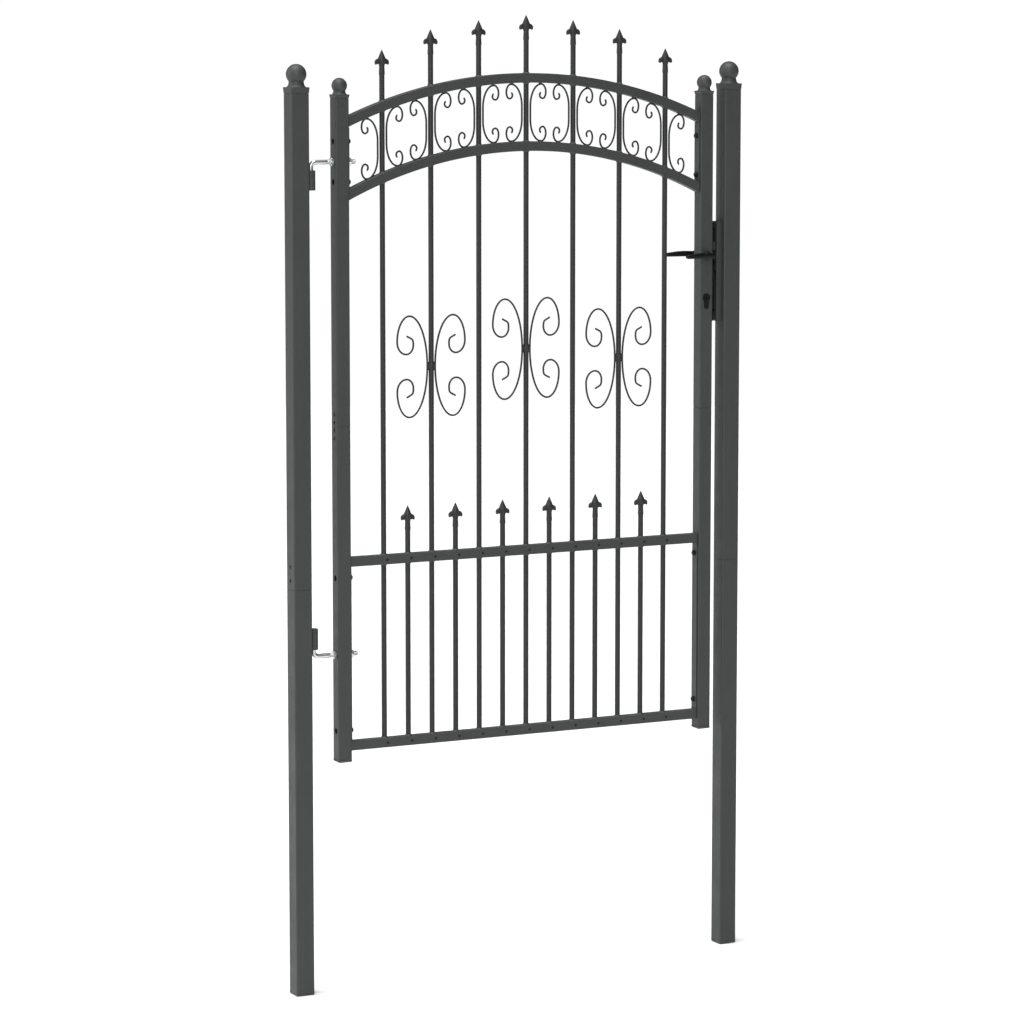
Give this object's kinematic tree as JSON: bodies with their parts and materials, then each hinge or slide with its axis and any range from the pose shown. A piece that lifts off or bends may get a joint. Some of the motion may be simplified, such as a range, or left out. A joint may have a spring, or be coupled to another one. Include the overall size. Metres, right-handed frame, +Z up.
{
  "type": "garden gate",
  "caption": "Arched steel garden gate with spear-topped pickets and scrollwork, hung on bolt hinges between two square posts, with a lever latch and a key lock.",
  "frame": {"origin": "midway between the two posts, at the level of their feet", "axes": "+Z up along the posts, +X from the hinge side to the lock side, +Y towards the back; the leaf opens towards -Y"},
  "size_m": [1.0526, 0.1018, 2.0245],
  "materials": {
    "frame_paint": "satin fine-texture powder coat, anthracite grey",
    "black_paint": "satin black powder coat",
    "zinc_plate": "bright zinc plate",
    "bare_steel": "satin",
    "grey_plastic": "matte moulded"
  },
  "bodies": {
    "posts": {"left_post_lower": "frame_paint", "left_post_upper": "frame_paint", "left_post_sleeve": "bare_steel", "left_post_cap": "frame_paint", "right_post_lower": "frame_paint", "right_post_upper": "frame_paint", "right_post_sleeve": "bare_steel", "right_post_cap": "frame_paint", "upper_hinge_barrel": "frame_paint", "lower_hinge_barrel": "frame_paint", "strike_keeper": "frame_paint"},
    "leaf": {"left_stile_lower": "frame_paint", "left_stile_upper": "frame_paint", "left_stile_sleeve": "bare_steel", "left_stile_cap": "frame_paint", "left_stile_foot": "grey_plastic", "right_stile_lower": "frame_paint", "right_stile_upper": "frame_paint", "right_stile_sleeve": "bare_steel", "right_stile_cap": "frame_paint", "right_stile_foot": "grey_plastic", "bottom_rail": "frame_paint", "mid_rail": "frame_paint", "lower_arch_rail": "frame_paint", "upper_arch_rail": "frame_paint", "lower_left_flat": "frame_paint", "lower_right_flat": "frame_paint", "upper_left_flat": "frame_paint", "upper_right_flat": "frame_paint", "tall_picket_1": "frame_paint", "tall_picket_2": "frame_paint", "tall_picket_3": "frame_paint", "tall_picket_4": "frame_paint", "tall_picket_5": "frame_paint", "tall_picket_6": "frame_paint", "tall_picket_7": "frame_paint", "short_picket_1": "frame_paint", "short_picket_2": "frame_paint", "short_picket_3": "frame_paint", "short_picket_4": "frame_paint", "short_picket_5": "frame_paint", "short_picket_6": "frame_paint", "butterfly_scroll_1": "frame_paint", "butterfly_scroll_2": "frame_paint", "butterfly_scroll_3": "frame_paint", "upper_hinge_bolt": "zinc_plate", "lower_hinge_bolt": "zinc_plate", "upper_outer_hinge_nut": "zinc_plate", "upper_inner_hinge_nut": "zinc_plate", "lower_outer_hinge_nut": "zinc_plate", "lower_inner_hinge_nut": "zinc_plate", "lock_case": "black_paint", "lock_cylinder": "black_paint"},
    "levers": {"front_lever": "black_paint", "back_lever": "black_paint", "spindle": "bare_steel"},
    "latch_bolt": {"latch_bolt": "bare_steel"},
    "dead_bolt": {"dead_bolt": "bare_steel"},
    "cylinder_plug": {"cylinder_plug": "black_paint"}
  },
  "joints": [
    {"name": "leaf_swing", "type": "hinge", "parent": "posts", "child": "leaf", "pos_m": [-0.4742, 0, 0], "axis": [0, 0, -1], "range_deg": [0, 100]},
    {"name": "lever_turn", "type": "hinge", "parent": "leaf", "child": "levers", "pos_m": [0.4445, 0, 1.513], "axis": [0, -1, 0], "range_deg": [0, 40], "stiffness_Nm_per_rad": 0.6, "springref_deg": -17.19},
    {"name": "latch_slide", "type": "slide", "parent": "leaf", "child": "latch_bolt", "axis": [-1, 0, 0], "range_m": [0, 0.0125]},
    {"name": "plug_turn", "type": "hinge", "parent": "leaf", "child": "cylinder_plug", "pos_m": [0.4445, 0, 1.4219], "axis": [0, -1, 0], "range_deg": [0, 360]},
    {"name": "dead_bolt_slide", "type": "slide", "parent": "leaf", "child": "dead_bolt", "axis": [1, 0, 0], "range_m": [0, 0.014]}
  ],
  "couplings": [
    {"joint": "latch_slide", "follows": "lever_turn", "m_per_rad": 0.0179},
    {"joint": "plug_turn", "follows": "dead_bolt_slide", "rad_per_m": 448.79}
  ]
}
